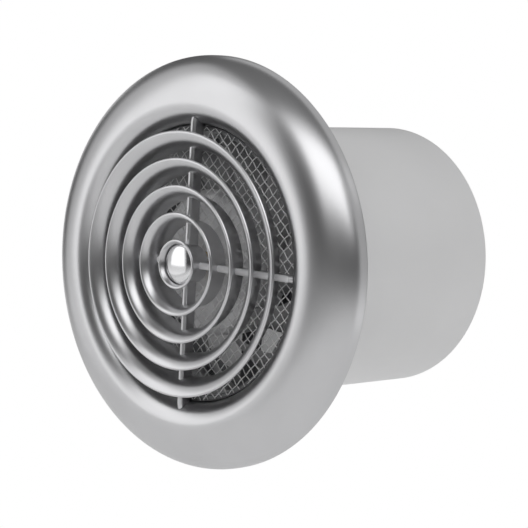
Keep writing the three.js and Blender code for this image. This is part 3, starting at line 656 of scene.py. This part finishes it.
# Mesh frame: a plain square ring moulded in grey plastic. It rests on the ledge in the bezel's throat,
# and the mesh's rim lies on its front.
grey_plastic = finish_nodes(
    "grey_plastic", (0.27, 0.275, 0.28), (0.24, 0.245, 0.25), roughness=(0.42, 0.58),
    patch=0.02, grain=0.00022, height=0.000012)
mesh_frame_width = 0.0022
mesh_frame = turned("mesh_ring", tube_outline("mesh_frame", mesh_frame_width, 0.0003), turns=throat_turns)
finished(mesh_frame, "housing", "grey_plastic", grey_plastic, "mesh_frame")

# Air duct: a plain tube of silver-grey plastic that plugs into the socket behind the flange. Eight
# holes in its wall take the screws of the socket and of the motor's bracket.
duct_silver = finish_nodes(
    "duct_silver", (0.765, 0.765, 0.77), (0.735, 0.735, 0.74), roughness=(0.42, 0.50),
    patch=0.05, grain=0.00025, height=0.000004, metallic=0.05)
duct_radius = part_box("duct_spigot")[1].x
duct_wall = 0.0015
duct_turns = 256
screw_hole = 0.0018
socket_screw_y = 0.007
bracket_screw_y = 0.026


def pin(start, end, radius, sides=24):
    """A rod between two points: a circle square to it at each end, closed on the middle line."""
    start, end = np.array(start, float), np.array(end, float)
    along = (end - start) / np.linalg.norm(end - start)
    aside = np.cross(along, [0.0, 0.0, 1.0] if abs(along[2]) < 0.9 else [1.0, 0.0, 0.0])
    aside /= np.linalg.norm(aside)
    turn = full_turn(sides).T
    circle = (np.cos(turn) * aside + np.sin(turn) * np.cross(along, aside)) * radius
    return np.stack([start + 0 * circle, start + circle, end + circle, end + 0 * circle])


def drilled(piece, *rods):
    """Takes rods out of a piece, as holes."""
    return combined(piece, filled("drill", *rods), "DIFFERENCE")


def side_holes(inner, outer, y, first=0.0):
    """Four screw holes that point at the axis, between two radii."""
    return copies(pin((inner, y, 0), (outer, y, 0), screw_hole), 4, first)


duct = turned("duct", tube_outline("duct_spigot", duct_wall, 0.0004), turns=duct_turns)
drill_from, drill_to = duct_radius - 0.003, duct_radius + 0.002
drilled(
    duct, *side_holes(drill_from, drill_to, socket_screw_y, first=45),
    *side_holes(drill_from, drill_to, bracket_screw_y))
finished(duct, "housing", "duct_silver", duct_silver, "duct_spigot")

# Wall flange: a plate with four screw holes. Its collar in front snaps over the bezel's throat, and its
# socket behind holds the duct.
flange_low, flange_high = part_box("wall_flange")
flange_radius = flange_high.x
flange_front = -0.0025
collar_wall = 0.002
collar_bore = throat_outside + snap_height + seat_gap
collar_mouth = throat_outside + seat_gap
socket_bore = duct_radius + seat_gap
socket_radius = socket_bore + 0.002
wall_hole = 0.00225
wall_hole_circle = (collar_bore + collar_wall + flange_radius) / 2
flange_outline = eased([
    [duct_radius - duct_wall, 0], [duct_radius - duct_wall, flange_front], [collar_bore, flange_front],
    [collar_bore, flange_low.y + snap_height + 0.0007], [collar_mouth, flange_low.y + 0.0007],
    [collar_mouth + 0.0002, flange_low.y], [collar_bore + collar_wall, flange_low.y],
    [collar_bore + collar_wall, flange_front], [flange_radius, flange_front], [flange_radius, 0],
    [socket_radius, 0], [socket_radius, flange_high.y], [socket_bore, flange_high.y], [socket_bore, 0]],
    0.0003, closed=True)
flange = turned("flange_moulding", flange_outline, turns=duct_turns)


def face_holes(circle, front, back, radius):
    """Four holes along y on a circle, halfway between the arms."""
    return copies(pin((circle, front, 0), (circle, back, 0), radius), 4, 45)


drilled(
    flange, *face_holes(wall_hole_circle, flange_front - 0.0015, 0.001, wall_hole),
    *side_holes(duct_radius, socket_radius + 0.001, socket_screw_y, first=45))
finished(flange, "housing", "grey_plastic", grey_plastic, "wall_flange")

# Screws: zinc-plated pan heads with a cross recess. Four hold the socket to the duct, four the bracket,
# four the motor, and one the terminal block. Their threads climb one pitch in a turn.
screw_zinc = finish_nodes(
    "screw_zinc", (0.66, 0.66, 0.68), (0.56, 0.56, 0.58), roughness=(0.25, 0.4),
    patch=0.002, grain=0.0001, height=0.000003, metallic=1.0)
screw_head_radius = 0.0028
screw_head_height = 0.0015
screw_shank = 0.0015
screw_thread = 0.00028
screw_pitch = 0.0008
recess_length, recess_width, recess_depth = 0.0030, 0.0008, 0.0011
recess_cut = 0.0002
screw_sides = 24
socket_screw_length, bracket_screw_length = 0.0038, 0.0081


def screw_points(length):
    """A screw turned about the y axis: a domed head, then a shank whose radius is a cosine wave of the
    thread's depth along y, shifted round the axis so that it climbs like a helix."""
    turn = full_turn(screw_sides)
    head = arc((0, -0.0003), screw_head_radius, screw_head_height - 0.0003, -90, 0, 8)
    under = np.array([[screw_head_radius - 0.0001, 0], [screw_shank, 0], [screw_shank, 0.0003]])
    y = np.arange(0.0004, length - 0.0006, screw_pitch / 6)[:, None]
    wave = 0.5 - 0.5 * np.cos(turn - 2 * np.pi * y / screw_pitch)
    radius = np.concatenate([
        np.concatenate([head, under])[:, :1] + 0 * turn, screw_shank - screw_thread * wave,
        np.array([[screw_shank - screw_thread], [0.0009], [0.0]]) + 0 * turn])
    depth = np.concatenate([head[:, 1], under[:, 1], y[:, 0], [length - 0.0004, length, length]])[:, None]
    return polar(radius, depth, turn)


def screw(name, node, length, place):
    """Cuts the cross recess into a screw's head, and carries the screw to its place."""
    made = filled(name, screw_points(length))
    top = (-screw_head_height - 0.001, -screw_head_height + recess_depth)
    cross = filled("cross", brick(spread(recess_length), top, spread(recess_width), recess_cut))
    across = filled("across", brick(spread(recess_width), top, spread(recess_length), recess_cut))
    combined(cross, across, "UNION")
    combined(made, cross, "DIFFERENCE")
    made.data.transform(place)
    return finished(made, "housing", "screw_steel", screw_zinc, node)


def towards_axis(seat_radius, y, degrees):
    """The place of a screw that is driven towards the axis, with its head seated at a radius."""
    return (Matrix.Rotation(-math.radians(degrees), 4, "Y") @ Matrix.Translation((seat_radius, y, 0))
            @ Matrix.Rotation(math.pi / 2, 4, "Z"))


socket_seat = socket_radius + seat_gap
bracket_seat = duct_radius + seat_gap
for k in range(4):
    screw(f"socket_fastener_{k + 1}", f"spigot_screw_{k + 1}", socket_screw_length,
          towards_axis(socket_seat, socket_screw_y, 45 + 90 * k))
    screw(f"bracket_fastener_{k + 1}", f"bracket_screw_{k + 1}", bracket_screw_length,
          towards_axis(bracket_seat, bracket_screw_y, 90 * k))

# Motor bracket: a ring in the duct and a band with a front plate, joined by four arms. A boss in each
# arm takes a screw, and the left arm carries a platform for the terminal block.
bracket_low, bracket_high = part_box("motor_bracket")
bracket_radius = bracket_high.x
bracket_ring_wall = 0.0025
bracket_cut = 0.0004
band_bore = 0.0283
band_wall = 0.0025
plate_front = bracket_low.y
plate_back = plate_front + 0.0023
bracket_back = plate_back + 0.012
bearing_hole = 0.0121
arm_width = 0.0032
arm_root_back = plate_back + 0.011
arm_tip_back = plate_back + 0.008
arm_boss_radius = 0.0038
arm_boss_length = 0.007
motor_screw_circle = 0.02105
arm_boss_sides = 48
arm_hole_start = 0.0514
motor_screw_length = 0.0053
platform_x = (-0.0517, -0.0343)
platform_z = 0.0097
platform_thickness = 0.0022
pocket_z = 0.0045
pocket_cut = 0.00002
terminal_middle = -0.043
bracket_plastic = finish_nodes(
    "bracket_plastic", (0.20, 0.205, 0.21), (0.17, 0.175, 0.18), roughness=(0.45, 0.6),
    patch=0.02, grain=0.0003, height=0.000015)

bracket = turned(
    "motor_holder",
    eased([
        [bearing_hole, plate_front], [band_bore + band_wall, plate_front],
        [band_bore + band_wall, bracket_back], [band_bore, bracket_back],
        [band_bore, plate_back], [bearing_hole, plate_back]], bracket_cut, closed=True),
    eased([
        [bracket_radius - bracket_ring_wall, plate_back], [bracket_radius, plate_back],
        [bracket_radius, bracket_back], [bracket_radius - bracket_ring_wall, bracket_back]],
        bracket_cut, closed=True),
    turns=192)
arm_near = band_bore + band_wall / 2
arm_far = bracket_radius - bracket_ring_wall / 2
arm_side = eased([
    [arm_near, plate_back], [arm_far, plate_back], [arm_far, arm_tip_back], [arm_near, arm_root_back]],
    0.0006, closed=True)
arm = slab(arm_side, spread(arm_width), 0.0007)[..., [0, 2, 1]]
arm_boss = pin(
    (arm_far - arm_boss_length, bracket_screw_y, 0), (arm_far, bracket_screw_y, 0), arm_boss_radius,
    arm_boss_sides)
platform = brick(
    platform_x, (arm_tip_back - platform_thickness, arm_tip_back), (-platform_z, platform_z), bracket_cut)
combined(bracket, filled("arms", *copies(arm, 4)), "UNION")
combined(bracket, filled("bosses", *copies(arm_boss, 4)), "UNION")
combined(bracket, filled("platform", platform), "UNION")
behind = brick(platform_x, (arm_tip_back, arm_root_back + 0.003), (-pocket_z, pocket_z), pocket_cut)
combined(bracket, filled("behind", behind), "DIFFERENCE")
drilled(
    bracket, *side_holes(arm_hole_start, bracket_radius + 0.001, bracket_screw_y),
    *face_holes(motor_screw_circle, plate_front - 0.001, plate_back + 0.001, screw_hole),
    pin((terminal_middle, plate_back + 0.001, 0), (terminal_middle, arm_tip_back + 0.001, 0), screw_hole))
finished(bracket, "housing", "grey_plastic", bracket_plastic, "motor_bracket")
for k in range(4):
    screw(f"motor_fastener_{k + 1}", f"motor_screw_{k + 1}", motor_screw_length,
          Matrix.Rotation(-math.radians(45 + 90 * k), 4, "Y")
          @ Matrix.Translation((motor_screw_circle, plate_front - seat_gap, 0)))

# Motor: a drawn steel can closed by a front end shield. Eight vent slots in the can's back let air
# through, and the leads leave by a rubber grommet in its side.
motor_zinc = finish_nodes(
    "motor_zinc", (0.58, 0.585, 0.60), (0.47, 0.475, 0.49), roughness=(0.32, 0.5),
    patch=0.006, grain=0.0003, height=0.000006, metallic=1.0)
motor_radius = 0.028
can_wall = 0.0011
can_bore = motor_radius - can_wall
shield_low, shield_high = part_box("motor_end_shield")
can_low, can_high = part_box("motor_can")
shield_front = shield_low.y + 0.0046
shield_back = shield_front + 0.003
bearing_housing = 0.0118
bearing_bore = 0.0098
shaft_hole = 0.0043
vent_count, vent_width, vent_cut = 8, 0.003, 0.0011
lead_hole, lead_hole_sides = 0.0032, 48

shield = turned("end_shield", eased([
    [shaft_hole, shield_low.y], [bearing_housing, shield_low.y], [bearing_housing, shield_front],
    [motor_radius, shield_front], [motor_radius, shield_back], [can_bore - seat_gap, shield_back],
    [can_bore - seat_gap, shield_high.y], [can_bore - seat_gap - 0.002, shield_high.y],
    [can_bore - seat_gap - 0.002, shield_back], [bearing_bore, shield_back],
    [bearing_bore, shield_low.y + can_wall], [shaft_hole, shield_low.y + can_wall]],
    0.0005, closed=True), turns=128)
drilled(shield, *face_holes(motor_screw_circle, shield_front - 0.001, shield_back + 0.001, screw_hole))
finished(shield, "housing", "motor_steel", motor_zinc, "motor_end_shield")

can_back = can_high.y - 0.0046
can_outline = eased([
    [0, can_high.y - can_wall], [bearing_bore, can_high.y - can_wall], [bearing_bore, can_back - can_wall],
    [can_bore, can_back - can_wall], [can_bore, can_low.y], [motor_radius, can_low.y],
    [motor_radius, can_back], [bearing_housing, can_back], [bearing_housing, can_high.y], [0, can_high.y]],
    [0, 0.0004, 0.0006, 0.001, 0.0003, 0.0003, 0.0021, 0.0008, 0.001, 0], steps=6)
can = filled("can", around(can_outline, 144))
vent = brick(
    (bearing_housing + 0.002, can_bore - 0.003), (can_back - 0.003, can_back + 0.001),
    spread(vent_width), vent_cut)
grommet_y = can_back - can_wall - seat_gap - 0.0029
combined(can, filled("vents", *copies(vent, vent_count, 180 / vent_count)), "DIFFERENCE")
drilled(can, pin(
    (-motor_radius - 0.002, grommet_y, 0), (-can_bore + 0.002, grommet_y, 0), lead_hole, lead_hole_sides))
finished(can, "housing", "motor_steel", motor_zinc, "motor_can")

black_rubber = finish_nodes(
    "black_rubber", (0.022, 0.022, 0.024), (0.014, 0.014, 0.015), roughness=(0.6, 0.8),
    patch=0.003, grain=0.0002, height=0.00001)
grommet_outline = eased([
    [0.0020, -0.0026], [0.0029, -0.0026], [0.0029, -0.0011], [0.0026, -0.0008], [0.0026, 0.0008],
    [0.0029, 0.0011], [0.0029, 0.0026], [0.0020, 0.0026]], 0.0003, closed=True)
grommet = turned("grommet", grommet_outline, turns=48)
grommet.data.transform(
    Matrix.Translation((-motor_radius + can_wall / 2, grommet_y, 0)) @ Matrix.Rotation(math.pi / 2, 4, "Z"))
finished(grommet, "housing", "black_rubber", black_rubber, "lead_grommet")

# Terminal block: a moulded block with a well and a slotted brass screw for each pole, and a hole through
# it for the screw that holds it to its platform. The leads come in from the motor's side.
terminal_white = finish_nodes(
    "terminal_white", (0.78, 0.76, 0.70), (0.72, 0.70, 0.64), roughness=(0.4, 0.55),
    patch=0.01, grain=0.00025, height=0.000008)
brass = finish_nodes(
    "brass", (0.78, 0.58, 0.27), (0.66, 0.47, 0.20), roughness=(0.22, 0.38),
    patch=0.002, grain=0.0001, height=0.000003, metallic=1.0)
block_low, block_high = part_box("terminal_block")
pole_z = 0.0042
well_radius, well_depth, well_sides = 0.0026, 0.005, 40
lead_entry, lead_entry_depth = 0.001, 0.0036
supply_entry, supply_entry_depth = 0.0016, 0.004
block_cut = 0.0008
slit_length, slit_width, slit_depth = 0.006, 0.0007, 0.0009
terminal_screw_length = 0.0139
lead_hole_y = block_high.y - well_depth - 0.0018
above_block, below_block = block_high.y + 0.001, block_low.y - 0.001
block = filled("connector", brick(
    (block_low.x, block_high.x), (block_low.y, block_high.y), (block_low.z, block_high.z), block_cut))
for z in (pole_z, -pole_z):
    well_floor = (terminal_middle, block_high.y - well_depth, z)
    lead_stop = (block_high.x - lead_entry_depth, lead_hole_y, z)
    supply_stop = (block_low.x + supply_entry_depth, lead_hole_y, z)
    drilled(block, pin(well_floor, (terminal_middle, above_block, z), well_radius, well_sides))
    drilled(block, pin(lead_stop, (block_high.x + 0.001, lead_hole_y, z), lead_entry))
    drilled(block, pin((block_low.x - 0.001, lead_hole_y, z), supply_stop, supply_entry))
drilled(block, pin((terminal_middle, below_block, 0), (terminal_middle, above_block, 0), screw_hole))
finished(block, "housing", "terminal_plastic", terminal_white, "terminal_block")
for k, z in enumerate((pole_z, -pole_z)):
    low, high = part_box(f"terminal_screw_{k + 1}")
    clamp_outline = eased([
        [0, low.y], [high.x - terminal_middle, low.y], [high.x - terminal_middle, high.y], [0, high.y]],
        [0, 0.0002, 0.0003, 0])
    clamp = filled(f"clamp_screw_{k + 1}", around(clamp_outline, well_sides))
    slit = brick(
        spread(slit_length), (high.y - slit_depth, high.y + 0.001), spread(slit_width), 0.0001)
    combined(clamp, filled("slit", slit), "DIFFERENCE")
    clamp.data.transform(Matrix.Translation((terminal_middle, 0, z)))
    finished(clamp, "housing", "brass", brass, f"terminal_screw_{k + 1}")
screw("terminal_fastener", "terminal_fixing_screw", terminal_screw_length,
      Matrix.Translation((terminal_middle, block_high.y + seat_gap, 0)) @ Matrix.Rotation(math.pi, 4, "X"))

# Motor leads: two short insulated wires, brown and blue, that bend forward from the grommet into the
# terminal block.
lead_radius = 0.0007
lead_steps = 10
lead_sides = 16


def lead_points(side):
    """A tube along a curve through given points. Between two points the curve is a cubic whose end slopes
    come from the points beside them, each weighed by the square root of its distance."""
    z = side * pole_z
    beside = side * (lead_radius + seat_gap)
    near = block_high.x
    stops = np.array([
        [-can_bore + 0.0015, grommet_y, beside],
        [-motor_radius - 0.0025, grommet_y, beside],
        [-motor_radius - 0.0054, grommet_y - 0.0024, beside + (z - beside) * 0.35],
        [-motor_radius - 0.0056, (grommet_y + lead_hole_y) / 2, (z + beside) / 2],
        [near + 0.0042, lead_hole_y + 0.003, z - (z - beside) * 0.15],
        [near + 0.0012, lead_hole_y, z],
        [near - 0.0032, lead_hole_y, z]])
    stops = np.concatenate([[2 * stops[0] - stops[1]], stops, [2 * stops[-1] - stops[-2]]])
    gap = np.sqrt(np.linalg.norm(np.diff(stops, axis=0), axis=1))[:, None]
    rate = np.diff(stops, axis=0) / gap
    slope = rate[:-1] + rate[1:] - (stops[2:] - stops[:-2]) / (gap[:-1] + gap[1:])
    s = np.linspace(0, 1, lead_steps, endpoint=False)[None, :, None]
    start, end = stops[1:-2, None], stops[2:-1, None]
    out, into = (slope[:-1] * gap[1:-1])[:, None], (slope[1:] * gap[1:-1])[:, None]
    path = (
        (2 * s ** 3 - 3 * s ** 2 + 1) * start + (s ** 3 - 2 * s ** 2 + s) * out
        + (3 * s ** 2 - 2 * s ** 3) * end + (s ** 3 - s ** 2) * into).reshape(-1, 3)
    path = np.concatenate([path, stops[-2:-1]])
    along = np.gradient(path, axis=0)
    along /= np.linalg.norm(along, axis=1, keepdims=True)
    aside = np.cross(along, [0.0, 0.0, 1.0])
    aside /= np.linalg.norm(aside, axis=1, keepdims=True)
    turn = full_turn(lead_sides)[..., None]
    ring = (np.cos(turn) * aside[:, None] + np.sin(turn) * np.cross(along, aside)[:, None]) * lead_radius
    rows = path[:, None] + ring
    return np.concatenate([path[:1, None] + 0 * ring[:1], rows, path[-1:, None] + 0 * ring[:1]])


lead_brown = finish_nodes(
    "lead_brown", (0.16, 0.065, 0.03), (0.12, 0.05, 0.022), roughness=(0.35, 0.5),
    patch=0.003, grain=0.0002, height=0.000005)
lead_blue = finish_nodes(
    "lead_blue", (0.035, 0.10, 0.34), (0.025, 0.08, 0.28), roughness=(0.35, 0.5),
    patch=0.003, grain=0.0002, height=0.000005)
for colour, side, finish in (("brown", 1, lead_brown), ("blue", -1, lead_blue)):
    lead = filled(f"lead_{colour}_wire", lead_points(side))
    finished(lead, "housing", f"lead_{colour}", finish, f"motor_lead_{colour}")

# Inside the closed motor: stator, rotor and bearings. They don't show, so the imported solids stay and
# only take their finish: dark stamped laminations, enamelled copper and polished bearing steel.
lamination = finish_nodes(
    "lamination", (0.16, 0.165, 0.175), (0.10, 0.105, 0.115), roughness=(0.4, 0.6),
    patch=0.003, grain=0.0004, height=0.00002, metallic=0.8)
copper_winding = finish_nodes(
    "copper_winding", (0.55, 0.20, 0.07), (0.42, 0.14, 0.05), roughness=(0.3, 0.45),
    patch=0.001, grain=0.0004, height=0.00004, metallic=0.8)
bearing_steel = finish_nodes(
    "bearing_steel", (0.62, 0.62, 0.64), (0.54, 0.54, 0.56), roughness=(0.18, 0.3),
    patch=0.004, grain=0.0002, height=0.000002, metallic=1.0)
inside = {
    "stator_core": lamination, "rotor_core": lamination,
    "bearing_front": bearing_steel, "bearing_rear": bearing_steel,
    **{f"stator_coil_{k + 1}": copper_winding for k in range(4)}}
for node, finish in inside.items():
    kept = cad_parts[node]
    kept.data.materials.clear()
    kept.data.materials.append(finish)

# Impeller: a moulded hub cup with eleven blades that sweep forward. Each blade is thickest at the middle of
# its chord, twisted, and slightly cambered. Cup and blades are one plastic: the cup's near-white tone is
# painted light on the hub, and the blades' duller, darker copy is painted shade for the shade they lie in
# behind the grille.
# Painted light and shade: the cup's near-white copy stands for the light on the hub, and the blades' darker,
# duller copy for the shade they lie in.
impeller_grey = finish_nodes(
    "impeller_grey", (0.93, 0.93, 0.935), (0.80, 0.80, 0.805), roughness=(0.38, 0.5),
    patch=0.012, grain=0.0003, height=0.000006)
blade_painted_shade = finish_nodes(
    "blade_painted_shade", (0.46, 0.46, 0.465), (0.30, 0.30, 0.305), roughness=(0.45, 0.6),
    patch=0.010, grain=0.0003, height=0.00001)
impeller_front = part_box("impeller")[0].y
hub_radius = 0.032
hub_depth = 0.018
cup_wall = 0.002
cup_round = 0.004
boss_radius = 0.0065
boss_depth = 0.016
bore_radius = 0.0033
blade_count = 11
blade_tip_radius = 0.056
blade_thickness = 0.0015
blade_front = 0.0006
blade_root_depth, blade_tip_depth = 0.013, 0.010
blade_root_width, blade_tip_width = 22.0, 19.0
blade_sweep = 27.0
blade_start = 66.0
blade_camber = 0.0014
blade_steps, blade_sides = 16, 48
cup_turns = 176

cup_outline = np.concatenate([
    eased([
        [hub_radius - cup_wall, impeller_front + cup_round],
        [hub_radius - cup_wall, impeller_front + hub_depth],
        [hub_radius, impeller_front + hub_depth], [hub_radius, impeller_front + cup_round]], 0.0004)[1:-1],
    arc((hub_radius - cup_round, impeller_front + cup_round), cup_round, cup_round, 0, -90, 12),
    eased([
        [hub_radius - cup_round, impeller_front], [bore_radius, impeller_front],
        [bore_radius, impeller_front + boss_depth], [boss_radius, impeller_front + boss_depth],
        [boss_radius, impeller_front + cup_wall], [hub_radius - cup_round, impeller_front + cup_wall]],
        0.0004)[1:-1],
    arc(
        (hub_radius - cup_round, impeller_front + cup_round),
        cup_round - cup_wall, cup_round - cup_wall, -90, 0, 6)])


def blade_points():
    """A closed loop round the blade's section, carried from the hub to the tip. Round the loop the
    chord goes as a cosine and the thickness as a sine, so both edges are round. Width, depth and
    sweep change evenly along the blade, and the ends close on the camber line."""
    span = np.array([0, 0, *np.linspace(0, 1, blade_steps + 1)[1:], 1, 1])[:, None]
    swell = np.ones_like(span)
    swell[[0, -1]] = 0
    swell[-2] = 0.75
    loop = full_turn(blade_sides)
    chord = 0.5 - 0.5 * np.cos(loop)
    root = hub_radius - cup_wall / 2
    radius = root + (blade_tip_radius - root) * span + 0 * loop
    width = blade_root_width + (blade_tip_width - blade_root_width) * span
    depth = blade_root_depth + (blade_tip_depth - blade_root_depth) * span
    thick = blade_thickness * (0.45 + 2.2 * chord * (1 - chord)) * np.sin(loop) * swell
    turn = np.radians(blade_start + blade_sweep * span - width * chord)
    y = blade_front + depth * chord - blade_camber * 4 * chord * (1 - chord) + thick / 2
    return polar(radius, y, turn)


impeller = turned("impeller_moulding", cup_outline, turns=cup_turns)
combined(impeller, filled("blades", *copies(blade_points(), blade_count)), "UNION")
finished(impeller, "rotor", "impeller_grey", impeller_grey, "impeller", crease=40)
# Painted shade: faces beyond the cup's radius, the blades, take the darker copy.
repaint(
    impeller, blade_painted_shade,
    lambda middle, normal: np.hypot(middle[0], middle[2]) > hub_radius + 0.0001)

# Impeller nut and motor shaft: a chamfered brass hexagon on the front end of a ground steel shaft. The
# nut holds the impeller, and the shaft carries the rotor and runs in the two bearings.
nut_low, nut_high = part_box("impeller_nut")
nut_radius = nut_high.z
nut_corner = 0.0007
nut_turns = 120
shaft_turns = 48


def nut_points():
    """A hexagon whose radius goes as one over the cosine of the angle from the middle of a flat, cut
    down to a circle that narrows towards both ends, and bored."""
    turn = full_turn(nut_turns)
    half = math.pi / 6
    flat_side = nut_radius * math.cos(half) / np.cos((turn + half) % (2 * half) - half)
    front, back = nut_low.y, nut_high.y
    circle = nut_radius - np.array([[nut_corner, nut_corner * 0.5, 0, 0, nut_corner * 0.5, nut_corner]]).T
    outer = np.minimum(flat_side, circle)
    inner = bore_radius + 0.0002 * np.array([[1, 0, 0, 1]]).T + 0 * turn
    radius = np.concatenate([outer, inner])
    y = np.array([
        front, front + 0.00015, front + 0.0004, back - 0.0004, back - 0.00015, back,
        back, back - 0.0002, front + 0.0002, front])[:, None]
    return polar(radius, y, turn)


nut = solid("nut", shell(nut_points(), ring=True))
finished(nut, "rotor", "brass", brass, "impeller_nut")
shaft_low, shaft_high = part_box("motor_shaft")
shaft_outline = eased([
    [0, shaft_low.y], [shaft_high.x, shaft_low.y], [shaft_high.x, shaft_high.y], [0, shaft_high.y]],
    [0, 0.0005, 0.0004, 0])
shaft = filled("spindle", around(shaft_outline, shaft_turns))
finished(shaft, "rotor", "bearing_steel", bearing_steel, "motor_shaft")

low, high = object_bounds()
